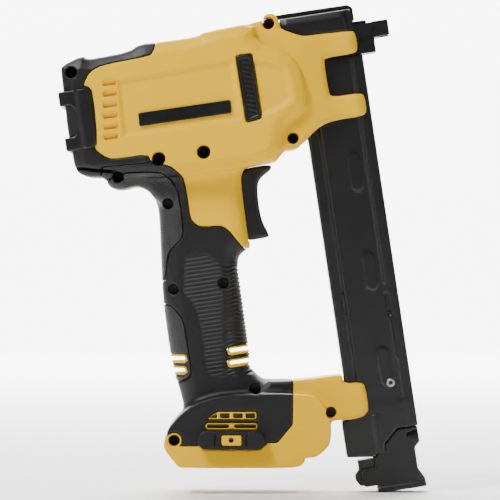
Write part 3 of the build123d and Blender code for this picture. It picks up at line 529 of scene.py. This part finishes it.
def make_strap():
    """The steel strap round the back of the tool, open in the middle."""
    g = Grid((-224, -200.5), (-35, 35), (-50, -6.5), 0.4, drive=True)
    outline = [(-222.7, -8.2, 1.5), (-202, -8.4, 4), (-202.8, -47.6, 3), (-222.7, -48, 1.5)]
    window = g.poly(rounded([(-230, -18, 2), (-213, -17.6, 4), (-213.6, -38.8, 4), (-230, -39.5, 2)]))
    outside = g.slab(g.poly(rounded(outline)), 31.6 + 2.0 * lean(g.X, -212.2, -209.4), 0.9)
    f = smax(outside, -np.maximum(col(-220.0 - g.X), g.Y - 28.6), 0.8)
    f = np.maximum(f, -np.maximum(col(-219.9 - g.X), g.Y - 29.2))
    f = smax(f, -col(window), 0.8)
    return g.mesh("rear_strap_look", f)


def make_cover():
    """The black cover above the nose, with a web that closes the gap under the lever."""
    g = Grid((-72, -20), (-18, 0.5), (3.5, 20.5), 0.3, drive=True)
    outline = rounded([
        (-70.6, 18.6, 2), (-70.7, 12, 1), (-58.1, 5.6, 8), (-52, 5.1), (-22.9, 4.95, 0.8), (-25.6, 18.8, 2.5),
    ])
    half = COVER_HALF - 4.5 * lean(g.X + 0.11 * (g.Z - 4.8), -27.2, -22.5) - 2.0 * lean(-g.X, 66.5, 71)
    half = half - 1.6 * lean(g.Z, 14.5, 19)
    f = g.slab(g.poly(outline), half, 0.9)
    web = rounded([(-70.2, 18.75), (-23.0, 18.75, 1.5), (-21.6, 5.2), (-56, 5.6)])
    f = np.minimum(f, g.slab(g.poly(web), 13.8, 0.5))
    f = np.maximum(f, -np.maximum(g.Y - 13.0, col(g.Z - 17.2)))
    return keep_right(g, f, "nose_cover")


def make_trigger():
    """The trigger, with a hollow front for the finger."""
    g = Grid((-120, -88), (-9.5, 9.5), (-126, -73), 0.4, drive=True)
    outline = [
        (-118.5, -76.5), (-89.8, -74.8), (-90, -79), (-95.5, -81.8), (-99.5, -85), (-101.3, -90),
        (-102, -102), (-101.3, -113), (-97.8, -122), (-99, -123.8), (-118.5, -123.8),
    ]
    f = g.slab(g.poly(loose(outline, 2)), TRIGGER_HALF - 1.2 * ramp(g.X, -106, -98), 2.6)
    return g.mesh("trigger_look", f)


def make_channel():
    """The magazine's pressed steel channel."""
    g = Grid((-70.5, -17.5), (-14, 14), (-281, -10.5), 0.4, drive=True)
    outline = [
        (-63, -12, 0.8), (-18.8, -12, 0.8), (-18.8, -262), (-32.8, -262, 1.5), (-51, -278.8, 1.5),
        (-68.6, -276.6, 1), (-68.6, -252.6, 1.5), (-63, -251.4, 1),
    ]
    # the rear strip sits lower, the foot of the channel a little prouder
    half = MAGAZINE_HALF - 0.7 * lean(-g.X, 54.2, 55.0) * ramp(g.Z, -247, -244)
    half = half + 0.2 * lean(-g.Z, 242, 244.5)
    f = g.slab(g.poly(rounded(outline)), half, 0.7)

    def bead(a, b, width, high):
        """A pressed line standing proud of the side."""
        d = g.line(a, b)
        return col(high * np.clip(1 - (d / width) ** 2, 0, 1))

    f = f - bead((-54.2, -14), (-54.2, -226), 0.7, 0.55)
    f = f - bead((-62.0, -14), (-62.0, -249), 0.5, 0.4)
    f = f - bead((-27.3, -14), (-27.3, -165), 0.6, 0.6) - bead((-25.9, -14), (-25.9, -165), 0.6, 0.6)
    f = f - bead((-26.5, -190), (-26.3, -215), 0.8, 0.3)
    f = f + bead((-25.8, -217), (-26.0, -243), 0.6, 0.45) + bead((-26.2, -244), (-26.3, -262), 0.5, 0.25)
    f = f + bead((-39, -214), (-38.8, -232), 0.6, 0.3)
    for w in (-89, -155.5, -220):
        d = g.line((-35, w + 9), (-35, w - 9))
        f = f - col(0.3 * ramp(-d, -4.8, -3.0))
    slot = col(g.line((-26.7, -172.6), (-26.7, -185.4)) - 1.5)
    f = smax(f, -np.maximum(slot, 11.5 - g.Y), 0.3)
    # the rolled tube at the foot, where the latch post is
    tube = np.hypot(col(g.X + 0.02 * g.Z + 51.2), g.Y - 8.6) - 4.6
    tube = smax(tube, col(np.maximum(g.Z + 251, -277.2 - g.Z)), 0.6)
    f = smin(f, tube, 0.8)
    hollow = np.maximum(col(np.maximum(-61.4 - g.X, g.X + 19.6)), np.maximum(g.Y - 10.9, col(g.Z + 13.4)))
    return g.mesh("magazine_channel_look", np.maximum(f, -hollow))


def make_toe():
    """The end cap of the magazine, with the ears that carry the latch."""
    g = Grid((-62, -17.5), (-13, 13), (-304.5, -260.5), 0.35, drive=True)
    outline = rounded([
        (-51.3, -279.9, 0.6), (-33, -262.7, 1.5), (-19.4, -262.5, 0.8), (-19.1, -273, 1),
        (-22.9, -276.5, 3), (-22.9, -290.5, 5), (-19.2, -297.5, 2), (-19.0, -302.8, 0.5),
        (-50.9, -302.8, 0.8), (-50.6, -297),
    ])
    half = TOE_HALF - 2.0 * lean(g.X, -24, -18.5)
    f = g.slab(g.poly(outline), half, 0.8)
    base = rounded([(-51, -300, 0.5), (-19.4, -300, 0.5), (-18.9, -302.85, 0.5), (-51, -302.85, 0.5)])
    f = smin(f, g.slab(g.poly(base), 12.3, 0.5), 1.6)
    scoop = np.hypot(col(0.35 * (g.X + 19)), col(g.Z + 267.5)) - 3.0
    f = smax(f, -np.maximum(scoop, 10.5 - g.Y - col(0.35 * (g.Z + 271))), 0.4)
    d = g.line((-26.3, -263), (-26.8, -272))
    f = f + col(0.3 * np.clip(1 - (d / 0.6) ** 2, 0, 1))
    ears = g.poly(rounded([(-60.5, -286, 2), (-49.5, -286), (-49.5, -298), (-60.5, -298, 2)]))
    f = smin(f, smax(col(ears), np.abs(g.Y - 9.95) - 1.55, 0.5), 0.6)
    f = np.maximum(f, -np.maximum(col(g.X + 49.8), g.Y - 8.4))
    # nothing reaches below the surface it stands on
    height = MUZZLE[1] + g.X * math.sin(TILT) + g.Z * math.cos(TILT)
    f = np.maximum(f, col(0.05 - height))
    f = np.maximum(f, -np.maximum(col(g.circle(-57.5, -292, 1.55)), g.Y - 10.5))
    return g.mesh("magazine_toe_look", f)


def make_rivet(u, w, y, r, name):
    """A round socket head, turned about its own axis, on the magazine's right side."""
    profile = [
        (0.34, -0.1), (0.36, 0.1), (0.5, 0.7), (0.62, 1.0), (0.8, 1.05), (0.94, 0.85), (1.0, 0.45),
        (1.0, -0.6),
    ]
    n = 40
    x0, z0 = G([(u, w)])[0]
    verts = []
    for share, out in profile:
        for k in range(n):
            a = 2 * math.pi * k / n
            x, z = x0 + r * share * math.cos(a), z0 + r * share * math.sin(a)
            verts.append((x / MM, -(y + out) / MM, z / MM))
    faces = []
    for i in range(len(profile) - 1):
        for k in range(n):
            j = (k + 1) % n
            faces.append((i * n + k, i * n + j, (i + 1) * n + j, (i + 1) * n + k))
    faces.append(tuple(range(n))[::-1])
    faces.append(tuple((len(profile) - 1) * n + k for k in range(n)))
    me = bpy.data.meshes.new(name)
    me.from_pydata(verts, [], faces)
    me.validate()
    for p in me.polygons:
        p.use_smooth = len(p.vertices) == 4
    o = bpy.data.objects.new(name, me)
    bpy.context.scene.collection.objects.link(o)
    return o


# ---------------------------------------------------------------- materials


def material(
    name, colour, rough, metal=0.0, bump=0.0, bump_scale=1500, speckle=0.0, shine=0.5, deep=0.0002
):
    """A finish with uneven colour and roughness, and a fine grain where bump isn't 0."""
    m = bpy.data.materials.new(name)
    m.use_nodes = True
    nodes, links = m.node_tree.nodes, m.node_tree.links
    bsdf = nodes["Principled BSDF"]
    bsdf.inputs["Metallic"].default_value = metal
    bsdf.inputs["Specular IOR Level"].default_value = shine
    coords = nodes.new("ShaderNodeTexCoord")
    noise = nodes.new("ShaderNodeTexNoise")
    noise.inputs["Scale"].default_value = 60
    noise.inputs["Detail"].default_value = 5
    links.new(coords.outputs["Object"], noise.inputs["Vector"])
    uneven = nodes.new("ShaderNodeMapRange")
    uneven.inputs["To Min"].default_value = rough - 0.05
    uneven.inputs["To Max"].default_value = rough + 0.07
    links.new(noise.outputs["Fac"], uneven.inputs["Value"])
    links.new(uneven.outputs["Result"], bsdf.inputs["Roughness"])
    mix = nodes.new("ShaderNodeMix")
    mix.data_type = "RGBA"
    mix.inputs["A"].default_value = (*[x * (1 - speckle) for x in colour], 1)
    mix.inputs["B"].default_value = (*[min(1, x * (1 + speckle)) for x in colour], 1)
    links.new(noise.outputs["Fac"], mix.inputs["Factor"])
    links.new(mix.outputs["Result"], bsdf.inputs["Base Color"])
    if bump:
        fine = nodes.new("ShaderNodeTexNoise")
        fine.inputs["Scale"].default_value = bump_scale
        fine.inputs["Detail"].default_value = 2
        links.new(coords.outputs["Object"], fine.inputs["Vector"])
        b = nodes.new("ShaderNodeBump")
        b.inputs["Strength"].default_value = bump
        b.inputs["Distance"].default_value = deep
        links.new(fine.outputs["Fac"], b.inputs["Height"])
        links.new(b.outputs["Normal"], bsdf.inputs["Normal"])
    return m


SOFT_BLACK, HARD_BLACK = (0.0035, 0.0035, 0.004), (0.003, 0.003, 0.0034)
FINISHES = {
    "yellow_nylon": dict(
        colour=(0.86, 0.49, 0.0), rough=0.38, bump=0.10, bump_scale=1400, speckle=0.03, shine=0.1
    ),
    "black_rubber": dict(colour=SOFT_BLACK, rough=0.50, bump=0.25, bump_scale=1800, speckle=0.1, shine=0.4),
    "black_plastic": dict(colour=SOFT_BLACK, rough=0.40, bump=0.15, speckle=0.1, shine=0.5),
    "black_steel": dict(colour=HARD_BLACK, rough=0.36, bump=0.12, bump_scale=900, speckle=0.1, shine=0.55),
    "black_screws": dict(colour=HARD_BLACK, rough=0.35, metal=0.3, bump=0.1, speckle=0.2),
    "dark_steel": dict(colour=(0.03, 0.03, 0.032), rough=0.4, metal=0.9, bump=0.2, speckle=0.2),
    "bright_steel": dict(colour=(0.55, 0.55, 0.56), rough=0.28, metal=1.0, bump=0.1, speckle=0.1),
    "spring_steel": dict(colour=(0.4, 0.4, 0.42), rough=0.3, metal=1.0, speckle=0.1),
    "alloy": dict(colour=(0.5, 0.5, 0.51), rough=0.45, metal=0.9, bump=0.3, speckle=0.1),
    "brass": dict(colour=(0.65, 0.45, 0.16), rough=0.3, metal=1.0, speckle=0.1),
    "green_board": dict(colour=(0.02, 0.12, 0.05), rough=0.3, speckle=0.2),
    "magnet": dict(colour=(0.05, 0.05, 0.05), rough=0.6, speckle=0.2),
    "plate_blank": dict(colour=HARD_BLACK, rough=0.32, speckle=0.1, bump=0.05, shine=0.55),
    "toe_plastic": dict(colour=SOFT_BLACK, rough=0.42, bump=0.2, speckle=0.1, shine=0.5),
}
MATS = {name: material(name, **finish) for name, finish in FINISHES.items()}
STIPPLED = material(
    "black_rubber_stippled", (0.006, 0.006, 0.0065), 0.42,
    bump=1.0, bump_scale=1100, speckle=0.3, shine=0.6, deep=0.0006,
)
slots = {s["node"]: s["material_slot"] for s in frame["record"]["subparts"]}
for node, o in frame["nodes"].items():
    o.data.materials.clear()
    o.data.materials.append(MATS[slots[node]])


def settle(o, body, nodes, look=None):
    """Puts a made piece on its body, in place of the CAD nodes it stands for."""
    slot = slots[nodes[0]]
    o.data.materials.append(look or MATS[slot])
    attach(o, body)
    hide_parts(*nodes)


def settle_pair(o, name):
    """A right piece and its mirror image."""
    other = mirrored(o, o.name.replace("_right", "_left"))
    settle(o, "tool", [name + "_right"])
    settle(other, "tool", [name + "_left"])


def settle_spring(node, body):
    """A spring copied from its CAD node into a mesh of its own, and put on its body in place of the node."""
    source = frame["nodes"][node]
    o = bpy.data.objects.new(node + "_look", source.data.copy())
    o.matrix_world = source.matrix_world.copy()
    bpy.context.scene.collection.objects.link(o)
    o.data.materials.clear()
    settle(o, body, [node])
    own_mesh(o)


for name in ("housing", "grip", "rear_bumper"):
    settle_pair(casing_pieces[name], name)
# both pads are made at once, half by half: the right half takes the place of the upper pad in
# the list, and the left half that of the lower pad
pads = casing_pieces["palm_pads"]
other_pads = mirrored(pads, "palm_pads_left_look")
settle(pads, "tool", ["palm_pad_upper"], STIPPLED)
settle(other_pads, "tool", ["palm_pad_lower"], STIPPLED)
settle_pair(make_label(), "label_plate")
settle_pair(make_outlet(), "side_vent")
settle_pair(make_cover(), "nose_cover")
settle(make_strap(), "tool", ["rear_strap"])
settle(make_trigger(), "trigger", ["trigger"])
settle(make_channel(), "tool", ["magazine_channel"])
settle(make_toe(), "magazine", ["magazine_toe"])
for name, at, out, radius, slot_name in (
    ("rail_screw_head", (-32.6, -231.5), 12.1, 2.9, "spring_steel"),
    ("rail_pin_end", (-26.7, -184.2), 11.2, 1.0, "black_steel"),
    ("rail_pin_high", (-57, -168), 11.3, 1.1, "black_steel"),
    ("rail_pin_low", (-57, -182), 11.3, 1.1, "black_steel"),
):
    piece = make_rivet(*at, out, radius, name)
    piece.data.materials.append(MATS[slot_name])
    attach(piece, "tool")

settle_spring("drive_springs", "tool")
settle_spring("trip_spring", "tool")
settle_spring("pusher_spring", "magazine")

# the remaining parts keep their exact shape, with their edges just broken
SOFTER = ("clear_lever", "contact_trip", "trip_tip", "magazine_latch")
for node in (
    *SOFTER, "nose_block", "latch_pin", "lever_pin",
    "terminal_block", "terminal_blades", "magazine_core", "pusher", "hook_inserts", "latch_post",
    "casing_screws", "control_board", "driver_blade",
):
    o = frame["nodes"][node]
    edge = o.modifiers.new("edge", "BEVEL")
    edge.width = 0.0003 if node in SOFTER else 0.00015
    edge.segments = 2
    edge.limit_method = "ANGLE"
    edge.angle_limit = math.radians(40)

# ---------------------------------------------------------------- studio


def make_floor():
    """A pale floor that curves up into a wall, in metres."""
    side, top, back, curve = 5.0, 4.5, 3.4, 0.7
    below = 0.0002  # keeps the floor just clear of the object's lowest point
    profile = [(-side, 0.0), (back, 0.0)]
    for k in range(1, 17):
        a = math.pi / 2 * k / 16
        profile.append((back + curve * math.sin(a), curve - curve * math.cos(a)))
    profile.append((back + curve, top))
    verts = [(x, y, z - below) for y, z in profile for x in (-side, side)]
    faces = [(2 * i, 2 * i + 1, 2 * i + 3, 2 * i + 2) for i in range(len(profile) - 1)]
    me = bpy.data.meshes.new("floor")
    me.from_pydata(verts, [], faces)
    for p in me.polygons:
        p.use_smooth = True
    floor = bpy.data.objects.new("floor", me)
    bpy.context.scene.collection.objects.link(floor)
    m = bpy.data.materials.new("floor")
    m.use_nodes = True
    m.node_tree.nodes["Principled BSDF"].inputs["Base Color"].default_value = (0.9, 0.9, 0.9, 1)
    m.node_tree.nodes["Principled BSDF"].inputs["Roughness"].default_value = 0.6
    me.materials.append(m)


def make_light(name, at, target, size, power):
    """A soft box at a place, turned to its target."""
    light = bpy.data.lights.new(name, "AREA")
    light.shape = "RECTANGLE"
    light.size, light.size_y = size
    light.energy = power
    o = bpy.data.objects.new(name, light)
    o.location = at
    o.rotation_euler = (Vector(target) - Vector(at)).to_track_quat("-Z", "Y").to_euler()
    bpy.context.scene.collection.objects.link(o)


def make_world():
    """A faint even light from all sides."""
    world = bpy.data.worlds.new("world")
    world.use_nodes = True
    world.node_tree.nodes["Background"].inputs["Color"].default_value = (1, 1, 1, 1)
    world.node_tree.nodes["Background"].inputs["Strength"].default_value = 0.08
    bpy.context.scene.world = world


def make_camera():
    """A long lens, square on to the right side."""
    cam = bpy.data.cameras.new("camera")
    cam.lens, cam.sensor_width = 260, 36
    view_width = 0.335
    o = bpy.data.objects.new("camera", cam)
    away = Vector((0, -1, 0))
    o.location = Vector((0.0047, 0, 0.1615)) + away * view_width * cam.lens / cam.sensor_width
    o.rotation_euler = (-away).to_track_quat("-Z", "Y").to_euler()
    bpy.context.scene.collection.objects.link(o)
    bpy.context.scene.camera = o


make_floor()
for light in (
    ("key", (-0.75, -0.75, 1.45), (0, 0, 0.2), (0.4, 0.4), 34),
    ("fill", (1.1, -0.8, 0.5), (0, 0, 0.17), (0.5, 0.9), 3),
    ("top", (0.1, 0.1, 1.2), (0, 0, 0.2), (1.2, 0.7), 3),
    ("rim", (0.2, 0.75, 0.7), (0, 0, 0.2), (1.0, 0.4), 3),
    ("ground", (0, 1.5, 1.6), (0, 1.3, 0), (2.4, 1.2), 120),
    ("wall_left", (-1.2, 2.4, 1.6), (-0.2, 4.0, 0.3), (0.9, 0.9), 210),
    ("wall_right", (1.2, 2.4, 1.6), (0.2, 4.0, 0.3), (0.9, 0.9), 210),
):
    make_light(*light)
make_world()
make_camera()
